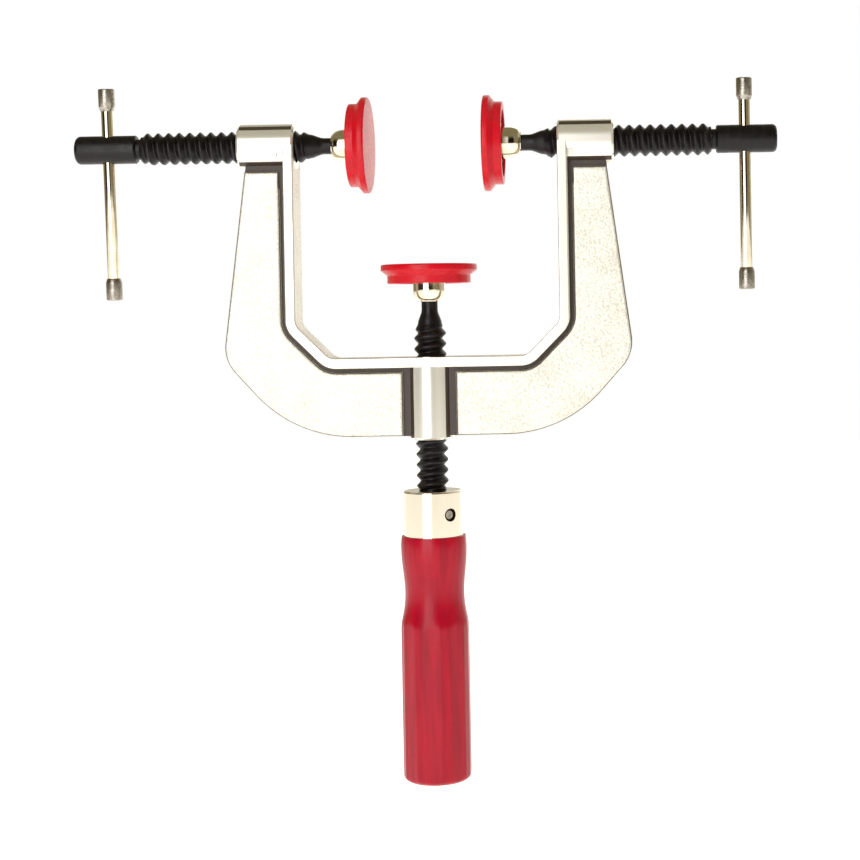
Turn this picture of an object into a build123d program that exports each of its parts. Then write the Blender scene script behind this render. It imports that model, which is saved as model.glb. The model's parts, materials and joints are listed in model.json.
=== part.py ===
from build123d import *

import os
from math import cos, radians, sin, tan

# Three-way edging clamp: a cast U-shaped frame carries three screws with swivel pads.
# Two side screws grip the faces of a board, and the centre screw presses on its edge.
# X runs along the two side screws, Z points up and away from the handle, Y is the depth.
# The origin is where the axis of the side screws crosses the axis of the centre screw.
# All lengths are in millimetres and all angles in degrees.

# Throat, the gap between the arms
throat_width = 111.8
throat_depth = 90.8          # from the side screw axis to the floor of the throat
throat_corner = 14.4         # leg of the 45 degree corner
throat_corner_radius = 6.0

# Outline of the casting
arm_width_at_axis = 19.7
arm_width_at_floor = 31.4
back_height = 33.5           # from the floor of the throat to the bottom edge
base_slant = 48.0            # slope of the lower corners
base_radius = 55.0
shoulder_radius = 16.0

# Sections of the casting
boss_diameter = 19.3         # the inner rib has this thickness too, flush with the bosses
rib_width = 4.3
groove_width = 1.9
web_thickness = 10.0
panel_thickness = 14.4
panel_edge_radius = 1.4
rib_edge_radius = 0.6
side_boss_length = 24.1
centre_boss_overhang = 1.7   # below the bottom edge
boss_edge_chamfer = 0.9
boss_groove_width = 2.7      # the groove widens where it climbs into the side bosses
boss_groove_top = 3.2        # below the side screw axis
boss_groove_half_depth = 7.6
panel_gap_side = 1.3         # between a side boss and the panel under it
panel_gap_centre = 1.6       # between the centre boss and the panels beside it

# Thread, single start and right-handed, the same on all three screws. Its ridge is built as
# one ring per turn in a plain bore, so a screw can turn and travel without meshing surfaces.
thread_pitch = 4.5
thread_crest_diameter = 13.6
thread_root_diameter = 10.4
thread_crest_width = 0.7
thread_root_width = 0.5
thread_clearance = 0.08      # between the crests and the bore of a boss

# Screws, measured along each axis from the centre of the ball, away from the work
ball_radius = 5.2
neck_diameter = 6.9
neck_end = 11.7
flare_length = 5.1
side_thread_length = 71.5
centre_thread_length = 70.7
undercut_diameter = 8.7
undercut_length = 2.1
shank_diameter = 12.0
side_shank_length = 25.9
shank_end_radius = 2.0
bar_hole_from_end = 13.65

# Swivel pads, a stamped plate with a closed socket inside a plastic cap
pad_diameter = 41.0
cap_back_diameter = 35.5
cap_height = 8.2
cap_rim_height = 2.8
cap_taper_height = 2.4
cap_front_wall = 2.2
cap_side_wall = 1.35
cap_lip_height = 1.2
cap_lip_width = 1.9
cap_edge_radius = 0.6
plate_floor = 1.8
plate_rim_wall = 1.4
plate_under_ball = 1.4
socket_wall = 0.55           # round the chamber of the snap ring
socket_back_wall = 0.65
socket_straight = 1.5        # end of the straight stretch behind the centre of the ball
socket_mouth_clearance = 0.75
socket_lip_width = 0.4
socket_shoulder_angle = 38.0
ball_clearance = 0.1
ring_wire_radius = 0.45
ring_clearance = 0.15        # round the ring in its chamber
ring_neck_clearance = 0.2
ring_gap = 24.0

# Tommy bars
bar_diameter = 5.0
bar_span = 90.4              # over both end caps
bar_drop = 19.2              # middle of the bar below the screw at rest
bar_clearance = 0.08
left_bar_lean = 5.0          # lower end of the bar leans back, from the vertical
right_bar_lean = 2.0
bar_cap_wall = 0.9
bar_cap_length = 9.4
bar_cap_floor = 1.8
bar_cap_radius = 0.5
bar_cap_taper_length = 1.8   # at the open end, down to the edge wall
bar_cap_edge_wall = 0.3

# Ferrule, tang and handle, on the axis of the centre screw
ferrule_gap = 0.1            # end of the thread to the ferrule
ferrule_diameter = 25.2
ferrule_length = 19.4
ferrule_wall = 1.3
ferrule_end_wall = 1.6
ferrule_edge_radius = 0.8
pin_diameter = 3.5
pin_recess = 1.0
pin_sink_diameter = 5.6
pin_turn = 49.0              # of the pin about the screw
pin_from_ferrule = 9.9
tang_diameter = 8.0
shank_in_handle = 12.0       # full shank past the ferrule
tang_length = 22.0
handle_length = 104.6
handle_shoulder_diameter = 27.6
handle_bulge_diameter = 28.3
handle_bulge_at = 4.6
handle_waist_diameter = 25.4
handle_waist_at = 24.4
handle_grip_at = 35.6
handle_flats = 28.4          # across the flats of the octagon
handle_edge_radius = 1.6
handle_end_radius = 5.0
turning_margin = 1.0         # the turned outline stands off the corners of the octagon

# Where the pads stand at rest
side_jaw_opening = 49.1
centre_pad_depth = 51.3      # below the side screw axis

# Radii and levels that follow from the sizes above
throat_half = throat_width / 2
boss_radius = boss_diameter / 2
thread_crest_radius = thread_crest_diameter / 2
thread_root_radius = thread_root_diameter / 2
neck_radius = neck_diameter / 2
shank_radius = shank_diameter / 2
thread_start = neck_end + flare_length
frame_bottom = -(throat_depth + back_height)
boss_outer_face = throat_half + side_boss_length
centre_boss_bottom = frame_bottom - centre_boss_overhang
panel_top = -(boss_radius + panel_gap_side)
web_top = -boss_radius / 2
seat_radius = ball_radius + ball_clearance
chamber_radius = seat_radius + 2 * ring_wire_radius + ring_clearance
socket_radius = chamber_radius + socket_wall
socket_back = chamber_radius + socket_back_wall
mouth_radius = neck_radius + socket_mouth_clearance
pad_reach = cap_front_wall + plate_under_ball + seat_radius
pad_face = -pad_reach        # from the centre of the ball
ferrule_top = thread_start + centre_thread_length + ferrule_gap
handle_top = ferrule_top + ferrule_length
tenon_radius = ferrule_diameter / 2 - ferrule_wall
bar_axis = thread_start + side_thread_length + undercut_length + side_shank_length - bar_hole_from_end

# Axis of the pin that crosses the ferrule, in the spindle's own frame
pin_plane = Plane(
    origin=(0, 0, ferrule_top + pin_from_ferrule),
    x_dir=(0, 0, 1),
    z_dir=(cos(radians(pin_turn)), sin(radians(pin_turn)), 0),
)

# Spindle planes: origin at the centre of the ball, normal pointing away from the work,
# x direction along the tommy bar of a side spindle, towards its upper end
side_ball = side_jaw_opening / 2 + pad_reach
left_spindle = Plane(
    origin=(-side_ball, 0, 0),
    x_dir=(0, -sin(radians(left_bar_lean)), cos(radians(left_bar_lean))),
    z_dir=(-1, 0, 0),
)
right_spindle = Plane(
    origin=(side_ball, 0, 0),
    x_dir=(0, -sin(radians(right_bar_lean)), cos(radians(right_bar_lean))),
    z_dir=(1, 0, 0),
)
centre_spindle = Plane(
    origin=(0, 0, -(centre_pad_depth + pad_reach)), x_dir=(1, 0, 0), z_dir=(0, 0, -1)
)


def throat_face(grow):
    """The throat's outline, open at the top, with every wall moved out by grow."""
    half = throat_half + grow
    floor = -(throat_depth + grow)
    corner_x = throat_half - throat_corner + grow * tan(radians(22.5))
    corner_z = -(throat_depth - throat_corner) - grow * tan(radians(22.5))
    with BuildSketch(Plane.XZ) as outline:
        with BuildLine():
            FilletPolyline(
                (-half, boss_diameter),
                (-half, corner_z),
                (-corner_x, floor),
                (corner_x, floor),
                (half, corner_z),
                (half, boss_diameter),
                radius=throat_corner_radius + grow,
            )
            Line((half, boss_diameter), (-half, boss_diameter))
        make_face()
    return outline.sketch


def casting_face(top):
    """The outside of the casting up to the level top, with the throat not yet taken out."""
    floor_x = throat_half + arm_width_at_floor
    axis_x = throat_half + arm_width_at_axis
    top_x = axis_x + (floor_x - axis_x) * -top / throat_depth
    base_x = floor_x - back_height / tan(radians(base_slant))
    with BuildSketch(Plane.XZ) as outline:
        with BuildLine():
            FilletPolyline(
                (-top_x, top),
                (-floor_x, -throat_depth),
                (-base_x, frame_bottom),
                (base_x, frame_bottom),
                (floor_x, -throat_depth),
                (top_x, top),
                radius=(shoulder_radius, base_radius, base_radius, shoulder_radius),
            )
            Line((top_x, top), (-top_x, top))
        make_face()
    return outline.sketch


def thread_profile(thread_length):
    """Half-section of the thread: a core with one trapezoid ridge per pitch."""
    flank_width = (thread_pitch - thread_crest_width - thread_root_width) / 2
    thread_end = thread_start + thread_length
    points = [(0, thread_start), (thread_root_radius, thread_start)]
    ridge = thread_start + thread_root_width / 2
    while ridge + 2 * flank_width + thread_crest_width < thread_end:
        points.append((thread_root_radius, ridge))
        points.append((thread_crest_radius, ridge + flank_width))
        points.append((thread_crest_radius, ridge + flank_width + thread_crest_width))
        points.append((thread_root_radius, ridge + 2 * flank_width + thread_crest_width))
        ridge += thread_pitch
    points.append((thread_root_radius, thread_end))
    points.append((0, thread_end))
    return points


def screw_front(thread_length):
    """Ball, neck, flare and thread; each turn of the thread is stood for by one ring."""
    with BuildPart() as front:
        Sphere(ball_radius)
        with BuildSketch(Plane.XZ):
            with BuildLine():
                Polyline(
                    (0, 0),
                    (neck_radius, 0),
                    (neck_radius, neck_end),
                    (thread_root_radius, thread_start),
                    (0, thread_start),
                    close=True,
                )
            make_face()
        revolve(axis=Axis.Z)
        with BuildSketch(Plane.XZ):
            with BuildLine():
                Polyline(*thread_profile(thread_length), close=True)
            make_face()
        revolve(axis=Axis.Z)
    return front.part


def side_screw_body():
    """Screw with a plain shank behind an undercut, cross-drilled for its tommy bar."""
    shank_start = thread_start + side_thread_length + undercut_length
    shank_end = shank_start + side_shank_length
    with BuildPart() as blank:
        add(screw_front(side_thread_length))
        with BuildSketch(Plane.XY.offset(shank_start - undercut_length)):
            Circle(undercut_diameter / 2)
        extrude(amount=undercut_length)
        with BuildSketch(Plane.XY.offset(shank_start)):
            Circle(shank_radius)
        extrude(amount=side_shank_length)
        rim = blank.edges().filter_by(GeomType.CIRCLE).sort_by(Axis.Z)[-1]
        fillet(rim, shank_end_radius)
        with BuildSketch(Plane.YZ):
            with Locations((0, shank_end - bar_hole_from_end)):
                Circle(bar_diameter / 2 + bar_clearance)
        extrude(amount=shank_diameter, both=True, mode=Mode.SUBTRACT)
    return blank.part


def snap_ring():
    """Split wire ring that closes the socket behind the ball and lies round the neck."""
    wire_path = ball_radius + ring_wire_radius + ball_clearance
    path_radius = neck_radius + ring_neck_clearance + ring_wire_radius
    path_height = (wire_path**2 - path_radius**2) ** 0.5
    with BuildPart() as wire:
        with BuildSketch(Plane.XZ):
            with Locations((path_radius, path_height)):
                Circle(ring_wire_radius)
        revolve(axis=Axis.Z, revolution_arc=360 - ring_gap)
    return wire.part


def plate_pressing():
    """Stamped plate: a dished disc with a turned-back rim and the closed ball socket."""
    front = pad_face + cap_front_wall
    floor = front + plate_floor
    rim_outer = cap_back_diameter / 2 - cap_side_wall
    rim_back = pad_face + cap_height - cap_lip_height
    shoulder = radians(socket_shoulder_angle)
    with BuildPart() as pressing:
        with BuildSketch(Plane.XZ):
            with BuildLine():
                Polyline(
                    (0, front),
                    (rim_outer, front),
                    (rim_outer, rim_back),
                    (rim_outer - plate_rim_wall, rim_back),
                    (rim_outer - plate_rim_wall, floor),
                    (socket_radius + plate_floor, floor),
                    (socket_radius, floor + plate_floor),
                    (socket_radius, socket_straight),
                )
                ThreePointArc(
                    (socket_radius, socket_straight),
                    (
                        mouth_radius + socket_lip_width
                        + (socket_radius - mouth_radius - socket_lip_width) * cos(shoulder),
                        socket_straight + (socket_back - socket_straight) * sin(shoulder),
                    ),
                    (mouth_radius + socket_lip_width, socket_back),
                )
                Polyline(
                    (mouth_radius + socket_lip_width, socket_back),
                    (0, socket_back),
                    (0, front),
                )
            make_face()
        revolve(axis=Axis.Z)
        Sphere(seat_radius, mode=Mode.SUBTRACT)
        with BuildSketch(Plane.XZ):
            with BuildLine():
                Line((0, 0), (chamber_radius, 0))
                CenterArc((0, 0), chamber_radius, 0, 90)
                Line((0, chamber_radius), (0, 0))
            make_face()
        revolve(axis=Axis.Z, mode=Mode.SUBTRACT)
        with BuildSketch(Plane.XY):
            Circle(mouth_radius)
        extrude(amount=socket_back, mode=Mode.SUBTRACT)
    return pressing.part


def cap_moulding():
    """Plastic cap over the face and rim of the plate, with a lip snapped behind the rim."""
    back = pad_face + cap_height
    rim_top = pad_face + cap_rim_height
    taper_top = rim_top + cap_taper_height
    back_radius = cap_back_diameter / 2
    pocket_radius = back_radius - cap_side_wall
    with BuildPart() as moulding:
        with BuildSketch(Plane.XZ):
            with BuildLine():
                Polyline(
                    (0, pad_face),
                    (pad_diameter / 2, pad_face),
                    (pad_diameter / 2, rim_top),
                    (back_radius, taper_top),
                    (back_radius, back),
                    (0, back),
                    close=True,
                )
            make_face()
        revolve(axis=Axis.Z)
        face_rim = moulding.edges().filter_by(GeomType.CIRCLE).group_by(Axis.Z)[0]
        fillet(face_rim, cap_edge_radius)
        with BuildSketch(Plane.XY.offset(pad_face + cap_front_wall)):
            Circle(pocket_radius)
        extrude(amount=cap_height - cap_front_wall - cap_lip_height, mode=Mode.SUBTRACT)
        with BuildSketch(Plane.XY.offset(back - cap_lip_height)):
            Circle(pocket_radius - cap_lip_width)
        extrude(amount=cap_lip_height, mode=Mode.SUBTRACT)
    return moulding.part


def tommy_bar():
    """Plain round bar, through the shank and into the floor of each end cap."""
    half = bar_span / 2 - bar_cap_floor
    with BuildPart() as rod:
        with BuildSketch(Plane.YZ.offset(-bar_drop)):
            with Locations((0, bar_axis)):
                Circle(bar_diameter / 2)
        extrude(amount=half, both=True)
    return rod.part


def bar_cap(side):
    """Flat-ended cap pressed on the bar; side is 1 for the upper end, -1 for the lower."""
    outer_end = side * bar_span / 2 - bar_drop
    bar_radius = bar_diameter / 2
    cap_radius = bar_radius + bar_cap_wall
    half_section = (
        (0, 0),
        (0, cap_radius),
        (bar_cap_length - bar_cap_taper_length, cap_radius),
        (bar_cap_length, bar_radius + bar_cap_edge_wall),
        (bar_cap_length, bar_radius),
        (bar_cap_floor, bar_radius),
        (bar_cap_floor, 0),
    )
    points = [(outer_end - side * inward, bar_axis + radius) for inward, radius in half_section]
    with BuildPart() as moulding:
        with BuildSketch(Plane.XZ):
            with BuildLine():
                Polyline(*points, close=True)
            make_face()
        revolve(axis=Axis((0, 0, bar_axis), (1, 0, 0)))
        rims = moulding.edges().filter_by(GeomType.CIRCLE).sort_by(Axis.X)
        fillet(rims[-1 if side == 1 else 0], bar_cap_radius)
    return moulding.part


def ferrule_cap():
    """Plated collar with a closed top, rounded at its edge, its pin hole sunk at both ends."""
    with BuildPart() as collar:
        with BuildSketch(Plane.XY.offset(ferrule_top)):
            Circle(ferrule_diameter / 2)
        extrude(amount=ferrule_length)
        fillet(collar.edges().group_by(Axis.Z)[0], ferrule_edge_radius)
        with BuildSketch(Plane.XY.offset(ferrule_top + ferrule_end_wall)):
            Circle(tenon_radius)
        extrude(amount=ferrule_length, mode=Mode.SUBTRACT)
        with BuildSketch(Plane.XY.offset(ferrule_top)):
            Circle(shank_radius)
        extrude(amount=ferrule_end_wall, mode=Mode.SUBTRACT)
        with BuildSketch(pin_plane):
            Circle(pin_diameter / 2)
        extrude(amount=ferrule_diameter, both=True, mode=Mode.SUBTRACT)
        for end in (-1, 1):
            with BuildSketch(pin_plane.offset(end * (ferrule_diameter / 2 - pin_recess))):
                Circle(pin_sink_diameter / 2)
            extrude(amount=end * ferrule_diameter, mode=Mode.SUBTRACT)
    return collar.part


def cross_pin():
    """Straight pin through ferrule, tenon and shank, its ends just under the surface."""
    with BuildPart() as pin:
        with BuildSketch(pin_plane):
            Circle(pin_diameter / 2)
        extrude(amount=ferrule_diameter / 2 - pin_recess, both=True)
    return pin.part


def centre_screw_body():
    """The screw of the handle: full shank into the tenon, then a thinner tang in the wood."""
    shank_start = thread_start + centre_thread_length
    shank_end = ferrule_top + shank_in_handle
    with BuildPart() as screw:
        add(screw_front(centre_thread_length))
        with BuildSketch(Plane.XY.offset(shank_start)):
            Circle(shank_radius)
        extrude(amount=shank_end - shank_start)
        with BuildSketch(Plane.XY.offset(shank_end)):
            Circle(tang_diameter / 2)
        extrude(amount=tang_length)
        with BuildSketch(pin_plane):
            Circle(pin_diameter / 2)
        extrude(amount=ferrule_diameter, both=True, mode=Mode.SUBTRACT)
    return screw.part


def handle_body():
    """Turned profile cut from an eight-sided bar, with a tenon for the ferrule."""
    end = handle_top + handle_length
    grip_corner = handle_flats / 2 / cos(radians(22.5))
    turned = grip_corner + turning_margin
    with BuildPart() as grip:
        with BuildSketch(Plane.XY.offset(handle_top)) as bar:
            RegularPolygon(grip_corner, 8, rotation=22.5)
            fillet(bar.vertices(), handle_edge_radius)
        extrude(amount=handle_length)
        with BuildSketch(Plane.XZ):
            with BuildLine():
                Line((0, handle_top), (handle_shoulder_diameter / 2, handle_top))
                Spline(
                    (handle_shoulder_diameter / 2, handle_top),
                    (handle_bulge_diameter / 2, handle_top + handle_bulge_at),
                    (handle_waist_diameter / 2, handle_top + handle_waist_at),
                    (turned, handle_top + handle_grip_at + handle_edge_radius),
                )
                Polyline(
                    (turned, handle_top + handle_grip_at + handle_edge_radius),
                    (turned, end - handle_end_radius - turning_margin),
                    (grip_corner, end - handle_end_radius),
                )
                RadiusArc(
                    (grip_corner, end - handle_end_radius),
                    (grip_corner - handle_end_radius, end),
                    -handle_end_radius,
                )
                Line((grip_corner - handle_end_radius, end), (0, end))
                Line((0, end), (0, handle_top))
            make_face()
        revolve(axis=Axis.Z, mode=Mode.INTERSECT)
        with BuildSketch(Plane.XY.offset(ferrule_top + ferrule_end_wall)):
            Circle(tenon_radius)
        extrude(amount=ferrule_length - ferrule_end_wall)
        with BuildSketch(Plane.XY.offset(ferrule_top)):
            Circle(shank_radius)
        extrude(amount=shank_in_handle, mode=Mode.SUBTRACT)
        with BuildSketch(Plane.XY.offset(ferrule_top)):
            Circle(tang_diameter / 2)
        extrude(amount=shank_in_handle + tang_length, mode=Mode.SUBTRACT)
        with BuildSketch(pin_plane):
            Circle(pin_diameter / 2)
        extrude(amount=ferrule_diameter, both=True, mode=Mode.SUBTRACT)
    return grip.part


def boss(length, both_rims):
    """Round boss along its own axis, bevelled at its far rim or at both."""
    with BuildPart() as body:
        with BuildSketch():
            Circle(boss_radius)
        extrude(amount=length)
        rims = body.edges().filter_by(GeomType.CIRCLE).sort_by(Axis.Z)
        chamfer(rims if both_rims else rims[-1], boss_edge_chamfer)
    return body.part


def rib_body():
    """Flat rib round the throat, as thick as the bosses, its long edges rounded."""
    with BuildPart() as rib:
        with BuildSketch(Plane.XZ):
            add(throat_face(rib_width))
            add(throat_face(0), mode=Mode.SUBTRACT)
            with Locations((0, boss_diameter)):
                Rectangle(2 * throat_width, 2 * boss_diameter, mode=Mode.SUBTRACT)
        extrude(amount=boss_radius, both=True)
        flats = rib.faces().filter_by(Axis.Y).edges()
        long_edges = flats.filter_by(lambda edge: edge.center().Z < -rib_width)
        fillet(long_edges, rib_edge_radius)
    return rib.part


# Frame: web, raised panels on both faces, rib, bosses, then the grooves' ends and the bores
with BuildPart() as frame:
    with BuildSketch(Plane.XZ) as web:
        add(casting_face(web_top))
        add(throat_face(rib_width / 2), mode=Mode.SUBTRACT)
    extrude(amount=web_thickness / 2, both=True)

    with BuildSketch(Plane.XZ) as panels:
        add(casting_face(panel_top))
        add(throat_face(rib_width + groove_width), mode=Mode.SUBTRACT)
        with Locations((0, frame_bottom)):
            Rectangle(boss_diameter + 2 * panel_gap_centre, 2 * back_height, mode=Mode.SUBTRACT)
    extrude(amount=panel_thickness / 2, both=True)
    flats = frame.faces().filter_by(Axis.Y).group_by(Axis.Y)
    fillet((flats[0] + flats[-1]).edges(), panel_edge_radius)

    add(rib_body())
    side_boss = boss(side_boss_length, True)
    for side in (-1, 1):
        with Locations(Plane(origin=(side * throat_half, 0, 0), z_dir=(side, 0, 0))):
            add(side_boss)
    with Locations(Plane(origin=(0, 0, -throat_depth), z_dir=(0, 0, -1))):
        add(boss(-centre_boss_bottom - throat_depth, False))

    notch_middle = throat_half + rib_width + boss_groove_width / 2
    for half_depth, top in (
        (web_thickness / 2, panel_top + 2 * panel_gap_side),
        (boss_groove_half_depth, -boss_groove_top),
    ):
        for face in (-1, 1):
            with BuildSketch(Plane.XZ.offset(face * half_depth)):
                for side in (-1, 1):
                    with Locations((side * notch_middle, top)):
                        Rectangle(boss_groove_width, boss_radius, align=(Align.CENTER, Align.MAX))
            extrude(amount=face * boss_radius, mode=Mode.SUBTRACT)

    bore_radius = thread_crest_radius + thread_clearance
    with BuildSketch(Plane.YZ):
        Circle(bore_radius)
    extrude(amount=boss_outer_face, both=True, mode=Mode.SUBTRACT)
    with BuildSketch(Plane.XY.offset(centre_boss_bottom)):
        Circle(bore_radius)
    extrude(amount=-centre_boss_bottom, mode=Mode.SUBTRACT)

# Left and right spindles: screw, snap ring, pad, tommy bar with its two caps
with BuildPart(left_spindle) as left_screw:
    add(side_screw_body())
with BuildPart(right_spindle) as right_screw:
    add(side_screw_body())
with BuildPart(left_spindle) as left_snap_ring:
    add(snap_ring())
with BuildPart(right_spindle) as right_snap_ring:
    add(snap_ring())
with BuildPart(left_spindle) as left_pad_plate:
    add(plate_pressing())
with BuildPart(right_spindle) as right_pad_plate:
    add(plate_pressing())
with BuildPart(left_spindle) as left_pad_cap:
    add(cap_moulding())
with BuildPart(right_spindle) as right_pad_cap:
    add(cap_moulding())
with BuildPart(left_spindle) as left_tommy_bar:
    add(tommy_bar())
with BuildPart(right_spindle) as right_tommy_bar:
    add(tommy_bar())
with BuildPart(left_spindle) as left_bar_upper_cap:
    add(bar_cap(1))
with BuildPart(right_spindle) as right_bar_upper_cap:
    add(bar_cap(1))
with BuildPart(left_spindle) as left_bar_lower_cap:
    add(bar_cap(-1))
with BuildPart(right_spindle) as right_bar_lower_cap:
    add(bar_cap(-1))

# Centre spindle: screw, snap ring, pad, ferrule, pin, handle
with BuildPart(centre_spindle) as centre_screw:
    add(centre_screw_body())
with BuildPart(centre_spindle) as centre_snap_ring:
    add(snap_ring())
with BuildPart(centre_spindle) as centre_pad_plate:
    add(plate_pressing())
with BuildPart(centre_spindle) as centre_pad_cap:
    add(cap_moulding())
with BuildPart(centre_spindle) as ferrule:
    add(ferrule_cap())
with BuildPart(centre_spindle) as ferrule_pin:
    add(cross_pin())
with BuildPart(centre_spindle) as handle:
    add(handle_body())

frame.part.label = "frame"
left_screw.part.label = "left_screw"
left_snap_ring.part.label = "left_snap_ring"
left_pad_plate.part.label = "left_pad_plate"
left_pad_cap.part.label = "left_pad_cap"
left_tommy_bar.part.label = "left_tommy_bar"
left_bar_upper_cap.part.label = "left_bar_upper_cap"
left_bar_lower_cap.part.label = "left_bar_lower_cap"
right_screw.part.label = "right_screw"
right_snap_ring.part.label = "right_snap_ring"
right_pad_plate.part.label = "right_pad_plate"
right_pad_cap.part.label = "right_pad_cap"
right_tommy_bar.part.label = "right_tommy_bar"
right_bar_upper_cap.part.label = "right_bar_upper_cap"
right_bar_lower_cap.part.label = "right_bar_lower_cap"
centre_screw.part.label = "centre_screw"
centre_snap_ring.part.label = "centre_snap_ring"
centre_pad_plate.part.label = "centre_pad_plate"
centre_pad_cap.part.label = "centre_pad_cap"
ferrule.part.label = "ferrule"
ferrule_pin.part.label = "ferrule_pin"
handle.part.label = "handle"

os.makedirs("parts", exist_ok=True)
export_step(frame.part, "parts/frame.step")
export_step(left_screw.part, "parts/left_screw.step")
export_step(left_snap_ring.part, "parts/left_snap_ring.step")
export_step(left_pad_plate.part, "parts/left_pad_plate.step")
export_step(left_pad_cap.part, "parts/left_pad_cap.step")
export_step(left_tommy_bar.part, "parts/left_tommy_bar.step")
export_step(left_bar_upper_cap.part, "parts/left_bar_upper_cap.step")
export_step(left_bar_lower_cap.part, "parts/left_bar_lower_cap.step")
export_step(right_screw.part, "parts/right_screw.step")
export_step(right_snap_ring.part, "parts/right_snap_ring.step")
export_step(right_pad_plate.part, "parts/right_pad_plate.step")
export_step(right_pad_cap.part, "parts/right_pad_cap.step")
export_step(right_tommy_bar.part, "parts/right_tommy_bar.step")
export_step(right_bar_upper_cap.part, "parts/right_bar_upper_cap.step")
export_step(right_bar_lower_cap.part, "parts/right_bar_lower_cap.step")
export_step(centre_screw.part, "parts/centre_screw.step")
export_step(centre_snap_ring.part, "parts/centre_snap_ring.step")
export_step(centre_pad_plate.part, "parts/centre_pad_plate.step")
export_step(centre_pad_cap.part, "parts/centre_pad_cap.step")
export_step(ferrule.part, "parts/ferrule.step")
export_step(ferrule_pin.part, "parts/ferrule_pin.step")
export_step(handle.part, "parts/handle.step")
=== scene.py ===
import json
import math

import bmesh
import bpy
import numpy as np
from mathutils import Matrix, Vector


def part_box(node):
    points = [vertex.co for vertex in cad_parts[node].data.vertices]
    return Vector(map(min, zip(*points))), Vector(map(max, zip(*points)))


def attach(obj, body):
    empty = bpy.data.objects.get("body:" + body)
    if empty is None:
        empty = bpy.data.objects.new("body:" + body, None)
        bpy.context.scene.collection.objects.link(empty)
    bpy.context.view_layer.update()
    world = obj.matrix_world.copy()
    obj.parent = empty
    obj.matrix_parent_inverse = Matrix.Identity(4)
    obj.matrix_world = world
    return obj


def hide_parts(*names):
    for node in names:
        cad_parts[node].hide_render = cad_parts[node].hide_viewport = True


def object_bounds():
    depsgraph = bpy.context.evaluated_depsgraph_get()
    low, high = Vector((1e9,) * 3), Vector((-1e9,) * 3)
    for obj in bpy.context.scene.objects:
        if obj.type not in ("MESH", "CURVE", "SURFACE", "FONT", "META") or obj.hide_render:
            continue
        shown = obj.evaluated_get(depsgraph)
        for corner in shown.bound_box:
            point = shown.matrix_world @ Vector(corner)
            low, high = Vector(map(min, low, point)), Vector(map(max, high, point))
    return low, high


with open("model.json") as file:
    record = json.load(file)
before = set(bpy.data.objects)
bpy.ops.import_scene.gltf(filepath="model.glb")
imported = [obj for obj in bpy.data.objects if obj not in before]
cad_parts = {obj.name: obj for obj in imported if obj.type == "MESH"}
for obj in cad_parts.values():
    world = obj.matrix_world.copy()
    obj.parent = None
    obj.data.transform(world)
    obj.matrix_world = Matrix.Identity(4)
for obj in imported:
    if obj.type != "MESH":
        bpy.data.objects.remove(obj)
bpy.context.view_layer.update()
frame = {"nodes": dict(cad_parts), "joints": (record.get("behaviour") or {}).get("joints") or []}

nodes = frame["nodes"]


# Casting
# The U-shaped body is malleable iron, cast in sand, tumbled and then zinc plated. The panels
# keep the grain of the sand, while the rib and the bosses stand proud and are rubbed smooth.
# Bright zinc gives a pale, slightly warm metal that is sandy on the panels.

def colour(code):
    """Linear RGBA of an sRGB hex code: c/12.92 near black, else ((c + 0.055) / 1.055)^2.4."""
    channels = np.array([int(code[i:i + 2], 16) / 255 for i in (0, 2, 4)])
    linear = np.where(channels <= 0.04045, channels / 12.92, ((channels + 0.055) / 1.055) ** 2.4)
    return (*linear.tolist(), 1.0)


def add_node(tree, kind, settings=None, inputs=None):
    """A node with its own settings; an input is given a value, or a link from a socket."""
    node = tree.nodes.new(kind)
    for key, value in (settings or {}).items():
        setattr(node, key, value)
    for key, value in (inputs or {}).items():
        if isinstance(value, bpy.types.NodeSocket):
            tree.links.new(value, node.inputs[key])
        else:
            node.inputs[key].default_value = value
    return node


def new_finish(name, base, settings):
    """Material with one Principled shader, a base colour and constant socket values."""
    material = bpy.data.materials.new(name)
    material.use_nodes = True
    tree = material.node_tree
    shader = tree.nodes["Principled BSDF"]
    shader.inputs["Base Color"].default_value = colour(base)
    for socket, value in settings.items():
        shader.inputs[socket].default_value = value
    coords = add_node(tree, "ShaderNodeTexCoord")
    return material, tree, shader, coords.outputs["Object"]


add = {"operation": "ADD"}
times = {"operation": "MULTIPLY"}
power = {"operation": "POWER"}
below = {"operation": "LESS_THAN"}
above = {"operation": "GREATER_THAN"}
without_sign = {"operation": "ABSOLUTE"}
two_colours = {"data_type": "RGBA"}

# Sizes in mm: radius of the bosses' skin, depths of rubbed faces and groove floor, grit, clouds
boss_skin = 9.7
rubbed_depth = 9.0
groove_depth = 6.9
grit_size = 1.0
cloud_size = 14.0

casting, tree, shader, where = new_finish(
    "zinc_plated_cast_iron", "E2DED4", {"Metallic": 0.7, "Roughness": 0.42}
)
across, into, along = add_node(tree, "ShaderNodeSeparateXYZ", None, {0: where}).outputs
depth = add_node(tree, "ShaderNodeMath", without_sign, {0: into}).outputs[0]
squares = [
    add_node(tree, "ShaderNodeMath", power, {0: part, 1: 2.0}).outputs[0]
    for part in (across, into, along)
]
nearer = add_node(
    tree, "ShaderNodeMath", {"operation": "MINIMUM"}, {0: squares[0], 1: squares[2]}
).outputs[0]
off_axis = add_node(tree, "ShaderNodeMath", add, {0: squares[1], 1: nearer}).outputs[0]
boss = add_node(
    tree, "ShaderNodeMath", below, {0: off_axis, 1: (boss_skin / 1000) ** 2}
).outputs[0]
proud = add_node(tree, "ShaderNodeMath", above, {0: depth, 1: rubbed_depth / 1000}).outputs[0]
rubbed = add_node(tree, "ShaderNodeMath", {"operation": "MAXIMUM"}, {0: proud, 1: boss}).outputs[0]
rough_skin = add_node(
    tree, "ShaderNodeMath", {"operation": "SUBTRACT"}, {0: 1.0, 1: rubbed}
).outputs[0]

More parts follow.
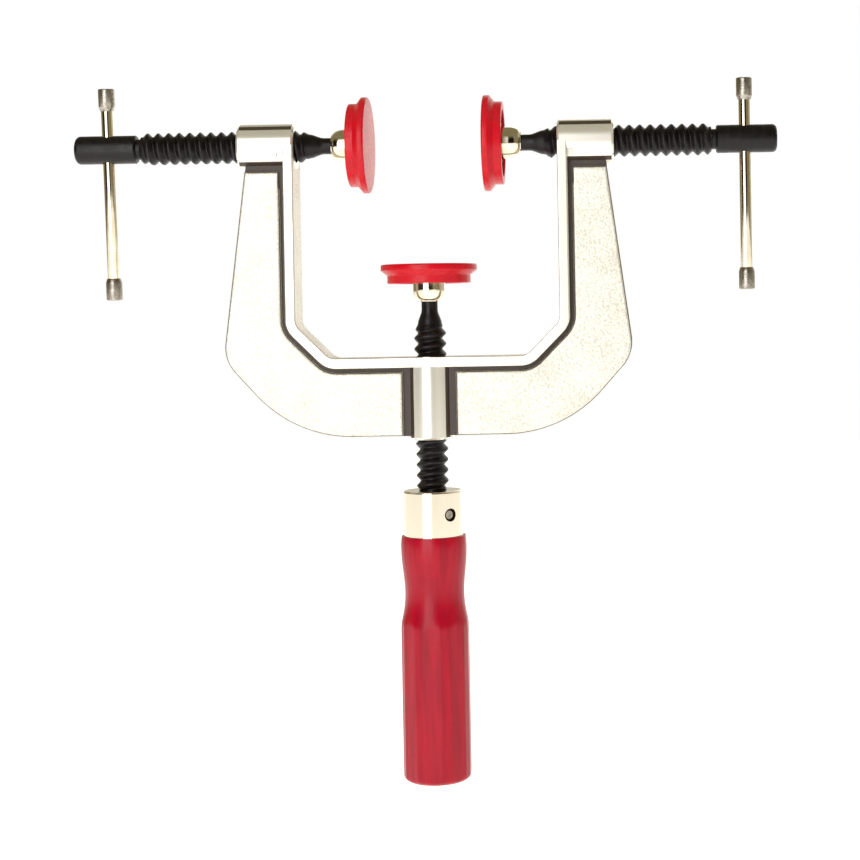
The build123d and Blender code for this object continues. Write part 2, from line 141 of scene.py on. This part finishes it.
# Painted shade: the floor of the groove between rib and panel, 5 mm off the middle, is painted
# dark brown and made less metallic in place of the shadow that falls there: the faces that look
# to the front or the back and lie lower than the panels
normal = add_node(tree, "ShaderNodeNewGeometry").outputs["Normal"]
facing = add_node(tree, "ShaderNodeSeparateXYZ", None, {0: normal}).outputs[1]
facing = add_node(tree, "ShaderNodeMath", without_sign, {0: facing}).outputs[0]
flat = add_node(tree, "ShaderNodeMath", above, {0: facing, 1: 0.5}).outputs[0]
low = add_node(tree, "ShaderNodeMath", below, {0: depth, 1: groove_depth / 1000}).outputs[0]
painted_groove_shade = add_node(tree, "ShaderNodeMath", times, {0: low, 1: flat}).outputs[0]

# The grain of the sand, three parts, with broader clouds in the plating, one part
grit = add_node(
    tree, "ShaderNodeTexNoise", None,
    {"Vector": where, "Scale": 1000 / grit_size, "Detail": 3.0, "Roughness": 0.6},
).outputs["Fac"]
clouds = add_node(
    tree, "ShaderNodeTexNoise", None, {"Vector": where, "Scale": 1000 / cloud_size, "Detail": 2.0}
).outputs["Fac"]
grit_share = add_node(tree, "ShaderNodeMath", times, {0: grit, 1: 0.75}).outputs[0]
cloud_share = add_node(tree, "ShaderNodeMath", times, {0: clouds, 1: 0.25}).outputs[0]
tone = add_node(tree, "ShaderNodeMath", add, {0: grit_share, 1: cloud_share}).outputs[0]
tone = add_node(tree, "ShaderNodeMapRange", None, {0: tone, 1: 0.36, 2: 0.64}).outputs[0]
sandy = add_node(
    tree, "ShaderNodeMix", two_colours, {0: tone, 6: colour("C6C1B4"), 7: colour("F0EDE4")}
).outputs[2]
skin = add_node(
    tree, "ShaderNodeMix", two_colours, {0: rubbed, 6: sandy, 7: colour("E6E2D8")}
).outputs[2]
# Painted shade: dark brown 3B3029 on the groove floor
groove_shaded_skin = add_node(
    tree, "ShaderNodeMix", two_colours, {0: painted_groove_shade, 6: skin, 7: colour("3B3029")}
).outputs[2]
# Painted shade: metallic falls to 0 on the groove floor, so it stays dark
plated = add_node(tree, "ShaderNodeMapRange", None, {0: painted_groove_shade, 3: 0.7, 4: 0.0}).outputs[0]
dulled = add_node(tree, "ShaderNodeMapRange", None, {0: rough_skin, 3: 0.24, 4: 0.5}).outputs[0]
relief = add_node(tree, "ShaderNodeMath", times, {0: grit, 1: rough_skin}).outputs[0]
bump = add_node(
    tree, "ShaderNodeBump", None, {"Height": relief, "Distance": 0.3 / 1000, "Strength": 0.7}
)
tree.links.new(groove_shaded_skin, shader.inputs["Base Color"])
tree.links.new(plated, shader.inputs["Metallic"])
tree.links.new(dulled, shader.inputs["Roughness"])
tree.links.new(bump.outputs["Normal"], shader.inputs["Normal"])
nodes["frame"].data.materials.clear()
nodes["frame"].data.materials.append(casting)


# Screws
# Steel rod with a ball turned on its front end, a slim neck, a cone and a right-handed thread
# of 4.5 mm pitch. It is blackened in hot oxide and oiled, so it is nearly black with a dull gleam.

# Sizes in mm. Radii are from the screw's axis, and levels are distances behind the ball's centre
ball_radius = 5.2
neck_radius = 3.45
neck_end = 11.7
thread_start = 16.8
side_thread_end = 88.3
centre_thread_end = 87.5
pitch = 4.5
root_radius = 5.2
crest_radius = 6.8
shank_radius = 6.0
columns = 96

box_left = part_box("left_screw")
box_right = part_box("right_screw")
box_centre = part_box("centre_screw")
# The axis of each joint, by the body that it moves
bar_ways = {joint["child"]: joint["axis"] for joint in frame["joints"]}


def spindle(origin, across, away):
    """Place of a spindle: its ball centre, and the directions of local x, y = s x x, and s."""
    return np.array(origin), np.array([across, np.cross(away, across), away])


spindles = {
    "left": spindle((box_left[1].x * 1000 - ball_radius, 0, 0), bar_ways["left_bar"], (-1, 0, 0)),
    "right": spindle((box_right[0].x * 1000 + ball_radius, 0, 0), bar_ways["right_bar"], (1, 0, 0)),
    "centre": spindle((0, 0, box_centre[1].z * 1000 - ball_radius), (1, 0, 0), (0, 0, -1)),
}


def arc(centre_r, centre_s, radius, start, end, steps):
    """Points of a profile on an arc: centre + radius * (cos, sin) over even angles in degrees."""
    turn = np.radians(np.linspace(start, end, steps))
    return np.column_stack((centre_r + radius * np.cos(turn), centre_s + radius * np.sin(turn)))


def lathe(profile, count=columns):
    """Surface of revolution: a profile point (r, s) goes to (r cos a, r sin a, s) for all a."""
    turn = np.linspace(0, 2 * np.pi, count + 1)
    r = profile[:, :1]
    s = profile[:, 1:] + 0 * turn
    return np.stack((r * np.cos(turn), r * np.sin(turn), s), axis=-1)


def make_piece(name, grids, place, finish, body, replaced, crease=32.0):
    """Quads between neighbouring grid points, doubles merged, set at origin + x X + y Y + s S."""
    points, faces, count = [], [], 0
    for grid in grids:
        rows, cols = grid.shape[:2]
        index = count + np.arange(rows * cols).reshape(rows, cols)
        corners = (index[:-1, :-1], index[:-1, 1:], index[1:, 1:], index[1:, :-1])
        faces.append(np.stack(corners, axis=-1).reshape(-1, 4))
        points.append(grid.reshape(-1, 3))
        count += rows * cols
    origin, directions = place
    world = (origin + np.concatenate(points) @ directions) / 1000
    mesh = bpy.data.meshes.new(name)
    mesh.from_pydata(world.tolist(), [], np.concatenate(faces).tolist())
    shell = bmesh.new()
    shell.from_mesh(mesh)
    bmesh.ops.remove_doubles(shell, verts=shell.verts, dist=1e-6)
    shell.to_mesh(mesh)
    shell.free()
    mesh.shade_smooth()
    mesh.set_sharp_from_angle(angle=math.radians(crease))
    mesh.materials.append(finish)
    piece = bpy.data.objects.new(name, mesh)
    bpy.context.scene.collection.objects.link(piece)
    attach(piece, body)
    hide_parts(*replaced)
    return piece


def thread(start, end, crest_angle):
    """Helical ridge: its section is carried along s = pitch * a / 360 while a runs through one
    turn, and the radius is held below a cone at each end, r = root + (s - start) / 2 at the
    start and r = root + (end - s) at the end."""
    rise = np.array([0, 0.1, 0.25, 0.42, 1.075, 1.74, 1.9, 2.05])
    height = np.array([0, 0.01, 0.07, 0.18, 0.8, 1.44, 1.55, 1.6])
    fall = np.array([2.45, 2.6, 2.76, 3.425, 4.08, 4.25, 4.4])
    section = np.concatenate((height, height[:0:-1]))
    turns = int((end - start) / pitch) + 4
    level = (pitch * np.arange(turns)[:, None] + np.concatenate((rise, fall))).ravel()
    level = level[:, None] + start - 2.5 * pitch
    turn = np.linspace(0, 2 * np.pi, columns + 1)
    s = np.clip(level + pitch * (turn - math.radians(crest_angle)) / (2 * np.pi), start, end)
    cone = root_radius + np.minimum(0.5 * (s - start), end - s)
    r = np.minimum(root_radius + np.tile(section, turns)[:, None], cone)
    return np.stack((r * np.cos(turn), r * np.sin(turn), s), axis=-1)


# Oxide is a thin black skin: it shows brown-black where it is worn, with a dull gleam of oil
blackened, tree, shader, where = new_finish(
    "oil_blackened_steel", "080405", {"Roughness": 0.4, "Specular IOR Level": 0.3}
)
wear = add_node(
    tree, "ShaderNodeTexNoise", None,
    {"Vector": where, "Scale": 1000 / 2.5, "Detail": 4.0, "Roughness": 0.6},
).outputs["Fac"]
worn = add_node(tree, "ShaderNodeMapRange", None, {0: wear, 1: 0.45, 2: 0.75}).outputs[0]
tint = add_node(
    tree, "ShaderNodeMix", two_colours, {0: worn, 6: colour("060304"), 7: colour("140C0C")}
)
dulled = add_node(tree, "ShaderNodeMapRange", None, {0: wear, 1: 0.3, 2: 0.7, 3: 0.3, 4: 0.5})
grain = add_node(
    tree, "ShaderNodeTexNoise", None, {"Vector": where, "Scale": 1000 / 0.7, "Detail": 2.0}
)
bump = add_node(
    tree, "ShaderNodeBump", None,
    {"Height": grain.outputs["Fac"], "Distance": 0.03 / 1000, "Strength": 0.5},
)
tree.links.new(tint.outputs[2], shader.inputs["Base Color"])
tree.links.new(dulled.outputs[0], shader.inputs["Roughness"])
tree.links.new(bump.outputs["Normal"], shader.inputs["Normal"])

ball_meets_neck = math.degrees(math.acos(neck_radius / ball_radius))
front = np.vstack((
    arc(0, 0, ball_radius, -90, ball_meets_neck, 28),
    [[neck_radius, neck_end - 1.2], [neck_radius + 0.16, neck_end]],
    [[neck_radius + 0.75, neck_end + 1.6], [root_radius - 0.25, neck_end + 3.6]],
    [[root_radius, thread_start]],
))
undercut_radius = 4.35
undercut_end = 90.4
shank_end = 116.3
shank_rounding = 2.0
side_rear = np.vstack((
    [[root_radius, side_thread_end], [undercut_radius + 0.2, side_thread_end]],
    [[undercut_radius, side_thread_end + 0.3], [undercut_radius, undercut_end - 0.2]],
    [[undercut_radius + 0.2, undercut_end], [shank_radius - 0.5, undercut_end]],
    [[shank_radius, undercut_end + 0.5]],
    arc(shank_radius - shank_rounding, shank_end - shank_rounding, shank_rounding, 0, 90, 9),
    [[0, shank_end]],
))
ferrule_top = 87.6
tang_start = ferrule_top + 12.0
tang_end = tang_start + 22.0
tang_radius = 4.0
centre_rear = np.array([
    [root_radius, centre_thread_end], [shank_radius, centre_thread_end],
    [shank_radius, tang_start], [tang_radius, tang_start], [tang_radius, tang_end], [0, tang_end],
])
bar_hole_level = 102.65
bar_hole_radius = 2.58
cutter_half = 9


def drill(piece, cutter):
    """Takes the cutter's shape out of the piece with an applied Boolean, and removes the cutter."""
    hole = piece.modifiers.new("hole", "BOOLEAN")
    hole.operation = "DIFFERENCE"
    hole.solver = "EXACT"
    hole.object = cutter
    bpy.context.view_layer.update()
    graph = bpy.context.evaluated_depsgraph_get()
    drilled = bpy.data.meshes.new_from_object(piece.evaluated_get(graph))
    piece.modifiers.clear()
    piece.data = drilled
    bpy.data.objects.remove(cutter)


def rod_cutter(centre, directions, radius, half):
    """A closed cylinder about a centre in mm, its axis along the third direction."""
    profile = np.array([[0, -half], [radius, -half], [radius, half], [0, half]])
    grid = lathe(profile, 48)
    mesh = bpy.data.meshes.new("cutter")
    index = np.arange(grid.shape[0] * grid.shape[1]).reshape(grid.shape[:2])
    corners = (index[:-1, :-1], index[:-1, 1:], index[1:, 1:], index[1:, :-1])
    world = (centre + grid.reshape(-1, 3) @ directions) / 1000
    mesh.from_pydata(world.tolist(), [], np.stack(corners, axis=-1).reshape(-1, 4).tolist())
    shell = bmesh.new()
    shell.from_mesh(mesh)
    bmesh.ops.remove_doubles(shell, verts=shell.verts, dist=1e-6)
    shell.to_mesh(mesh)
    shell.free()
    cutter = bpy.data.objects.new("cutter", mesh)
    bpy.context.scene.collection.objects.link(cutter)
    return cutter


for side, crest_angle in (("left", -107.0), ("right", -37.0)):
    screw = make_piece(
        side + "_threaded_spindle",
        (lathe(front), thread(thread_start, side_thread_end, crest_angle), lathe(side_rear)),
        spindles[side], blackened, side + "_spindle", [side + "_screw"],
    )
    origin, directions = spindles[side]
    along_bar = np.array([[0, 1, 0], directions[2], [0, 0, 1]])
    hole_middle = origin + bar_hole_level * directions[2]
    drill(screw, rod_cutter(hole_middle, along_bar, bar_hole_radius, cutter_half))
make_piece(
    "centre_threaded_spindle",
    (lathe(front), thread(thread_start, centre_thread_end, 55.0), lathe(centre_rear)),
    spindles["centre"], blackened, "centre_spindle", ["centre_screw"],
)


# Snap rings
# A ring of drawn spring wire lies round the neck and shuts each socket behind the ball.
# Drawn and oiled, the wire is plain grey with a soft gleam.

spring, tree, shader, where = new_finish(
    "drawn_spring_wire", "6E6E70", {"Metallic": 1.0, "Roughness": 0.35}
)
drawing = add_node(
    tree, "ShaderNodeTexNoise", None, {"Vector": where, "Scale": 1000 / 0.3, "Detail": 2.0}
)
bump = add_node(
    tree, "ShaderNodeBump", None,
    {"Height": drawing.outputs["Fac"], "Distance": 0.01 / 1000, "Strength": 0.4},
)
tree.links.new(bump.outputs["Normal"], shader.inputs["Normal"])
for side in spindles:
    ring = nodes[side + "_snap_ring"]
    ring.data.materials.clear()
    ring.data.materials.append(spring)


# Pad plates
# Each swivel plate is pressed from steel sheet: a flat disc with a turned-back rim and, in its
# middle, the socket that is closed in over the ball. It is nickel plated and bright.

# Nickel mirrors the room with a warm cast, under a thin film of handling
nickel, tree, shader, where = new_finish(
    "bright_nickel_plate", "DDD3C2", {"Metallic": 1.0, "Roughness": 0.1}
)
film = add_node(
    tree, "ShaderNodeTexNoise", None, {"Vector": where, "Scale": 1000 / 5.0, "Detail": 3.0}
).outputs["Fac"]
filmed = add_node(tree, "ShaderNodeMapRange", None, {0: film, 1: 0.35, 2: 0.7}).outputs[0]
tint = add_node(
    tree, "ShaderNodeMix", two_colours, {0: filmed, 6: colour("E4DCCB"), 7: colour("D6C9AF")}
)
dulled = add_node(tree, "ShaderNodeMapRange", None, {0: film, 1: 0.3, 2: 0.7, 3: 0.07, 4: 0.14})
ripple = add_node(
    tree, "ShaderNodeTexNoise", None, {"Vector": where, "Scale": 1000 / 4.0, "Detail": 1.0}
)
bump = add_node(
    tree, "ShaderNodeBump", None,
    {"Height": ripple.outputs["Fac"], "Distance": 0.01 / 1000, "Strength": 0.5},
)
tree.links.new(tint.outputs[2], shader.inputs["Base Color"])
tree.links.new(dulled.outputs[0], shader.inputs["Roughness"])
tree.links.new(bump.outputs["Normal"], shader.inputs["Normal"])

# Radius and level in mm, from the middle of the front face round the rim, over the back and
# the socket, and through its mouth down to the ball's seat
plate_profile = np.vstack((
    [[0, -6.7], [15.9, -6.7]],
    arc(15.9, -6.2, 0.5, -90, 0, 5),
    [[16.4, -2.0], [16.3, -1.9], [15.1, -1.9], [15.0, -2.0], [15.0, -4.9], [8.9, -4.9]],
    arc(8.9, -2.9, 2.0, -90, -180, 7),
    [[6.9, 1.5]],
    np.column_stack((
        4.6 + 2.3 * np.cos(np.radians(np.linspace(6, 84, 12))),
        1.5 + 5.1 * np.sin(np.radians(np.linspace(6, 84, 12))),
    )),
    arc(4.6, 6.65, 0.35, 75, 180, 7),
    [[4.2, 6.4], [4.2, 4.76]],
    arc(0, 0, 6.35, 48.6, 0, 9),
    arc(0, 0, 5.3, 0, -90, 16),
))
for side in spindles:
    make_piece(
        side + "_socket_plate", (lathe(plate_profile),), spindles[side], nickel,
        side + "_pad", [side + "_pad_plate"],
    )


# Pad caps
# A soft-edged cap of red polyethylene is snapped over each plate, so the steel can't mark the
# work. It is injection moulded: glossy, slightly see-through at thin edges, faintly scuffed.

plastic, tree, shader, where = new_finish(
    "red_moulded_polyethylene",
    "BC0016",
    {"Roughness": 0.35, "Specular IOR Level": 0.28, "Subsurface Weight": 0.08, "Subsurface Scale": 0.002},
)
shader.inputs["Subsurface Radius"].default_value = (1.0, 0.25, 0.05)
scuffs = add_node(
    tree, "ShaderNodeTexNoise", None,
    {"Vector": where, "Scale": 1000 / 1.6, "Detail": 5.0, "Roughness": 0.65},
).outputs["Fac"]
scuffed = add_node(tree, "ShaderNodeMapRange", None, {0: scuffs, 1: 0.35, 2: 0.75}).outputs[0]
tint = add_node(
    tree, "ShaderNodeMix", two_colours, {0: scuffed, 6: colour("C4001A"), 7: colour("AE0014")}
)
dulled = add_node(tree, "ShaderNodeMapRange", None, {0: scuffs, 1: 0.3, 2: 0.7, 3: 0.24, 4: 0.42})
waves = add_node(
    tree, "ShaderNodeTexNoise", None, {"Vector": where, "Scale": 1000 / 2.2, "Detail": 3.0}
)
bump = add_node(
    tree, "ShaderNodeBump", None,
    {"Height": waves.outputs["Fac"], "Distance": 0.05 / 1000, "Strength": 0.5},
)
tree.links.new(tint.outputs[2], shader.inputs["Base Color"])
tree.links.new(dulled.outputs[0], shader.inputs["Roughness"])
tree.links.new(bump.outputs["Normal"], shader.inputs["Normal"])

# Radius and level in mm, from the middle of the front face round the rim and along the inside
cap_profile = np.vstack((
    [[0, -8.9], [19.7, -8.9]],
    arc(19.7, -8.1, 0.8, -90, 0, 8),
    arc(20.1, -6.5, 0.4, 0, 45, 4),
    arc(18.15, -3.95, -0.4, 45, 0, 3),
    arc(17.35, -1.1, 0.4, 0, 90, 5),
    [[14.7, -0.7], [14.5, -0.9], [14.5, -1.9], [16.4, -1.9], [16.4, -6.7], [0, -6.7]],
))
for side in spindles:
    make_piece(
        side + "_red_cap", (lathe(cap_profile, 128),), spindles[side], plastic,
        side + "_pad", [side + "_pad_cap"],
    )


# Tommy bars
# A plain drawn bar slides in the shank's cross hole and turns the screw. It is nickel plated
# like the plates, and a turned cap with a tapered inner end is pressed on each end to hold it.

bar_radius = 2.5
bar_reach = 43.4
rounding = 0.4
bar_profile = np.vstack((
    [[0, -bar_reach]],
    arc(bar_radius - rounding, rounding - bar_reach, rounding, -90, 0, 4),
    arc(bar_radius - rounding, bar_reach - rounding, rounding, 0, 90, 4),
    [[0, bar_reach]],
))
bar_drop = 19.2
end_reach = 45.2
cap_length = 9.4
cap_floor = 1.8
end_cap_profile = np.vstack((
    [[0, 0], [2.9, 0]],
    arc(2.9, 0.5, 0.5, -90, 0, 5),
    [[3.4, cap_length - 1.9], [3.33, cap_length - 1.6], [2.85, cap_length - 0.15]],
    [[2.7, cap_length], [bar_radius, cap_length], [bar_radius, cap_floor], [0, cap_floor]],
))

# The caps are turned and dull plated: a grey, soft gleam with fine marks from the tool
pressed, tree, shader, where = new_finish(
    "dull_plated_steel", "A39B92", {"Metallic": 1.0, "Roughness": 0.32}
)
marks = add_node(
    tree, "ShaderNodeTexNoise", None,
    {"Vector": where, "Scale": 1000 / 1.4, "Detail": 3.0, "Roughness": 0.6},
).outputs["Fac"]
marked = add_node(tree, "ShaderNodeMapRange", None, {0: marks, 1: 0.35, 2: 0.7}).outputs[0]
tint = add_node(
    tree, "ShaderNodeMix", two_colours, {0: marked, 6: colour("B3ACA3"), 7: colour("7F776E")}
)
dulled = add_node(tree, "ShaderNodeMapRange", None, {0: marks, 1: 0.3, 2: 0.7, 3: 0.24, 4: 0.42})
bump = add_node(
    tree, "ShaderNodeBump", None, {"Height": marks, "Distance": 0.04 / 1000, "Strength": 0.6}
)
tree.links.new(tint.outputs[2], shader.inputs["Base Color"])
tree.links.new(dulled.outputs[0], shader.inputs["Roughness"])
tree.links.new(bump.outputs["Normal"], shader.inputs["Normal"])

for side in ("left", "right"):
    origin, directions = spindles[side]
    upwards = directions[0]
    bar_middle = origin + bar_hole_level * directions[2] - bar_drop * upwards
    make_piece(
        side + "_sliding_bar", (lathe(bar_profile, 64),), spindle(bar_middle, directions[2], upwards),
        nickel, side + "_bar", [side + "_tommy_bar"],
    )
    for level, way in (("lower", upwards), ("upper", -upwards)):
        make_piece(
            f"{side}_{level}_bar_end", (lathe(end_cap_profile, 64),),
            spindle(bar_middle - end_reach * way, directions[2], way), pressed,
            side + "_bar", [f"{side}_bar_{level}_cap"],
        )


# Ferrule and pin
# The collar is deep drawn from sheet and nickel plated; it keeps the wood from splitting. A
# straight steel pin through a sunk hole fixes collar, handle and screw to one another.

# Painted shade: the sunk hole, below the collar's outer radius of 12.6 mm, is painted near black and
# rough in place of the shade in it; its walls and floor don't face up or down, as the collar's top face
# does
sunk_radius = 12.35
collar_plate, tree, shader, where = new_finish(
    "nickel_plate_with_painted_shade", "E0D7C6", {"Metallic": 1.0, "Roughness": 0.1}
)
sides = add_node(tree, "ShaderNodeSeparateXYZ", None, {0: where}).outputs
squares = [
    add_node(tree, "ShaderNodeMath", power, {0: part, 1: 2.0}).outputs[0] for part in sides[:2]
]
off_axis = add_node(tree, "ShaderNodeMath", add, {0: squares[0], 1: squares[1]}).outputs[0]
inside = add_node(
    tree, "ShaderNodeMath", below, {0: off_axis, 1: (sunk_radius / 1000) ** 2}
).outputs[0]
normal = add_node(tree, "ShaderNodeNewGeometry").outputs["Normal"]
facing = add_node(tree, "ShaderNodeSeparateXYZ", None, {0: normal}).outputs[2]
facing = add_node(tree, "ShaderNodeMath", without_sign, {0: facing}).outputs[0]
upright = add_node(tree, "ShaderNodeMath", below, {0: facing, 1: 0.7}).outputs[0]
sunk_hole_shade = add_node(tree, "ShaderNodeMath", times, {0: inside, 1: upright}).outputs[0]
# Painted shade: near black 2A2018 in the sunk hole
tint = add_node(
    tree, "ShaderNodeMix", two_colours, {0: sunk_hole_shade, 6: colour("E0D7C6"), 7: colour("2A2018")}
)
dulled = add_node(tree, "ShaderNodeMapRange", None, {0: sunk_hole_shade, 3: 0.1, 4: 0.6})
tree.links.new(tint.outputs[2], shader.inputs["Base Color"])
tree.links.new(dulled.outputs[0], shader.inputs["Roughness"])
for name, finish in (("ferrule", collar_plate), ("ferrule_pin", pressed)):
    nodes[name].data.materials.clear()
    nodes[name].data.materials.append(finish)


# Handle
# Turned and milled from beech: a round shoulder and waist run into an eight-sided grip with a
# rounded end. It is dipped in clear red lacquer, which pools thick and softens every edge.

# Sizes in mm: the grip's rounding starts at rounding_start below the handle's top
handle_top = 107.0
grip_flat = 14.2
rounding_start = 99.6
end_radius = 5.0
grip_corner = grip_flat / math.cos(math.radians(22.5))
tenon_radius = 11.3
tenon_top = ferrule_top + 1.6
shoulder_end = 4.6
waist_run = 19.8
waist_end = 24.4


def soft_least(*radii):
    """The least of several radii with rounded meetings: (sum of r^-p)^(-1/p) for a large p."""
    sharpness = 60.0
    return sum(radius ** -sharpness for radius in radii) ** (-1 / sharpness)


def grip_surface():
    """Radius over turn a and level z: the least of an octagon in a, flat / cos(a - facet), of
    the turned profile in z (quarter sine, half cosine, then a parabola), and of the end arc."""
    rounding = rounding_start + end_radius * np.sin(np.linspace(0.05, np.pi / 2, 14))
    straight = np.linspace(41.5, rounding_start - 0.6, 30)
    z = np.concatenate((np.linspace(0, 40, 81), straight, rounding))[:, None]
    turn = np.linspace(0, 2 * np.pi, 193)
    facet = (turn + np.pi / 8) % (np.pi / 4) - np.pi / 8
    octagon = grip_flat / np.cos(facet) + 0 * z
    softened = np.minimum(octagon, grip_corner - 0.55 + 0.25 * np.cos(8 * turn))
    turned = np.where(
        z < shoulder_end,
        13.75 + 0.4 * np.sin(np.pi / 2 * z / shoulder_end),
        np.where(
            z < waist_end,
            13.4 + 0.75 * np.cos(np.pi * (z - shoulder_end) / waist_run),
            12.65 + 0.0125 * (z - waist_end) ** 2,
        ),
    )
    drop = np.clip(z - rounding_start, 0, end_radius)
    end = grip_corner - end_radius + np.sqrt(end_radius**2 - drop**2)
    r = soft_least(softened, np.minimum(turned, 40) + 0 * turn, end + 0 * turn)
    return np.stack((r * np.cos(turn), r * np.sin(turn), handle_top + z + 0 * turn), axis=-1)


grip = grip_surface()
inside = lathe(np.array([
    [0, tang_end], [tang_radius, tang_end], [tang_radius, tang_start], [shank_radius, tang_start],
    [shank_radius, tenon_top], [tenon_radius, tenon_top], [tenon_radius, handle_top],
]), 192)
shoulder = np.stack((inside[-1], grip[0]))
foot = np.stack((grip[-1], grip[-1] * [0, 0, 1]))

# Clear red lacquer over beech is deep and even, with the wood's pores as fine darker strokes
lacquer, tree, shader, where = new_finish(
    "red_lacquered_beech",
    "98001C",
    {"Roughness": 0.4, "Specular IOR Level": 0.22, "Coat Weight": 0.08, "Coat Roughness": 0.15},
)
# Beech pores and growth lines run along the grip, so the pattern is drawn out along it
grain_space = add_node(
    tree, "ShaderNodeMapping", None, {"Vector": where, "Scale": (1.0, 1.0, 0.06)}
).outputs[0]
growth = add_node(
    tree, "ShaderNodeTexNoise", None,
    {"Vector": grain_space, "Scale": 1000 / 2.4, "Detail": 3.0, "Roughness": 0.6},
).outputs["Fac"]
pores = add_node(
    tree, "ShaderNodeTexNoise", None, {"Vector": grain_space, "Scale": 1000 / 0.7, "Detail": 2.0}
).outputs["Fac"]
rings = add_node(tree, "ShaderNodeMapRange", None, {0: growth, 1: 0.35, 2: 0.68}).outputs[0]
deep = add_node(
    tree, "ShaderNodeMix", two_colours, {0: rings, 6: colour("A80020"), 7: colour("90001C")}
).outputs[2]
strokes = add_node(
    tree, "ShaderNodeMapRange", None, {0: pores, 1: 0.6, 2: 0.78, 3: 0.0, 4: 0.3}
).outputs[0]
tint = add_node(tree, "ShaderNodeMix", two_colours, {0: strokes, 6: deep, 7: colour("700014")})
dulled = add_node(tree, "ShaderNodeMapRange", None, {0: growth, 1: 0.3, 2: 0.7, 3: 0.26, 4: 0.4})
pore_share = add_node(tree, "ShaderNodeMath", times, {0: pores, 1: 0.4}).outputs[0]
relief = add_node(tree, "ShaderNodeMath", add, {0: growth, 1: pore_share}).outputs[0]
bump = add_node(
    tree, "ShaderNodeBump", None, {"Height": relief, "Distance": 0.03 / 1000, "Strength": 0.4}
)
tree.links.new(tint.outputs[2], shader.inputs["Base Color"])
tree.links.new(dulled.outputs[0], shader.inputs["Roughness"])
tree.links.new(bump.outputs["Normal"], shader.inputs["Normal"])
make_piece(
    "turned_grip", (inside, shoulder, grip, foot), spindles["centre"], lacquer,
    "centre_spindle", ["handle"], 40.0,
)


# Studio
# A pale floor that glows strongly, as in a light tent; a tall softbox just left of the camera, a
# broad one overhead that bright metal doesn't mirror, and a faint one behind, on the right.

floor_gap = 0.05
floor_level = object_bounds()[0].z - floor_gap
floor_half = 2.5
floor_mesh = bpy.data.meshes.new("studio_floor")
floor_mesh.from_pydata(
    [(x * floor_half, y * floor_half, floor_level) for x, y in ((-1, -1), (1, -1), (1, 1), (-1, 1))],
    [], [(0, 1, 2, 3)],
)
paper, _, shader, _ = new_finish(
    "white_background_paper", "FAFAFA", {"Roughness": 0.9, "Emission Strength": 0.95}
)
shader.inputs["Emission Color"].default_value = (1, 1, 1, 1)
floor_mesh.materials.append(paper)
floor = bpy.data.objects.new("studio_floor", floor_mesh)
bpy.context.scene.collection.objects.link(floor)


def softbox(name, at, aim, width, height, watts, mirrored):
    """Area light at one point, in metres, facing another; bright metal may mirror it or not."""
    data = bpy.data.lights.new(name, "AREA")
    data.shape = "RECTANGLE"
    data.size, data.size_y = width, height
    data.energy = watts
    lamp = bpy.data.objects.new(name, data)
    lamp.location = at
    direction = Vector(aim) - Vector(at)
    lamp.rotation_euler = direction.to_track_quat("-Z", "Y").to_euler()
    lamp.visible_camera = False
    lamp.visible_glossy = mirrored
    bpy.context.scene.collection.objects.link(lamp)


middle = (0, 0, -0.12)
softbox("key_softbox", (-0.33, -1.0, -0.05), middle, 0.6, 1.6, 9, True)
softbox("top_softbox", (0.0, -0.25, 1.1), middle, 1.6, 1.2, 7, False)
softbox("back_softbox", (0.4, 1.2, 0.2), middle, 1.0, 1.4, 4, True)

world = bpy.data.worlds.new("studio")
bpy.context.scene.world = world
world.use_nodes = True
tree = world.node_tree
backdrop = tree.nodes["Background"]
# The room that bright metal mirrors: walls by the angle round the clamp, over a whole turn,
# 0 behind it, 0.5 at the camera and more to the right. The camera itself sees plain white
direction = add_node(tree, "ShaderNodeTexCoord").outputs["Generated"]
toward = add_node(tree, "ShaderNodeSeparateXYZ", None, {0: direction}).outputs
forward = add_node(tree, "ShaderNodeMath", times, {0: toward[1], 1: -1.0}).outputs[0]
bearing = add_node(
    tree, "ShaderNodeMath", {"operation": "ARCTAN2"}, {0: toward[0], 1: forward}
).outputs[0]
bearing = add_node(
    tree, "ShaderNodeMath", {"operation": "DIVIDE"}, {0: bearing, 1: 2 * math.pi}
).outputs[0]
bearing = add_node(tree, "ShaderNodeMath", add, {0: bearing, 1: 0.5}).outputs[0]
walls = add_node(tree, "ShaderNodeValToRGB", None, {0: bearing})
walls.color_ramp.elements.remove(walls.color_ramp.elements[1])
walls.color_ramp.elements[0].color = colour("CFCBBB")
for position, code in (
    (0.10, "CFCBBB"), (0.13, "8A7F5C"), (0.28, "8A7F5C"), (0.295, "181110"), (0.39, "181110"),
    (0.40, "F4F2EC"), (0.495, "F4F2EC"), (0.505, "181110"), (0.575, "1E1614"), (0.59, "8C8466"),
    (0.74, "938A6C"), (0.77, "D2CEC0"),
):
    walls.color_ramp.elements.new(position).color = colour(code)
overhead = add_node(tree, "ShaderNodeMapRange", None, {0: toward[2], 1: 0.45, 2: 0.75}).outputs[0]
room = add_node(
    tree, "ShaderNodeMix", two_colours, {0: overhead, 6: walls.outputs[0], 7: colour("8E8768")}
).outputs[2]
seen = add_node(tree, "ShaderNodeLightPath").outputs["Is Camera Ray"]
sky = add_node(tree, "ShaderNodeMix", two_colours, {0: seen, 6: room, 7: (1, 1, 1, 1)})
tree.links.new(sky.outputs[2], backdrop.inputs["Color"])


# Camera
# It looks straight at the clamp's face from the height of the frame, a little to the right of
# the middle and tipped by one degree, with the lens shifted down and to the left.

camera_data = bpy.data.cameras.new("camera")
camera_data.sensor_width = 36.0
camera_data.lens = 78.27
camera_data.shift_x = -0.2224
camera_data.shift_y = -0.146
camera = bpy.data.objects.new("camera", camera_data)
camera.location = (0.082, -0.8, -0.07)
camera.rotation_euler = (math.radians(90), math.radians(1.05), 0)
bpy.context.scene.collection.objects.link(camera)
bpy.context.scene.camera = camera
bpy.context.scene.view_settings.view_transform = "Standard"

bpy.context.view_layer.update()
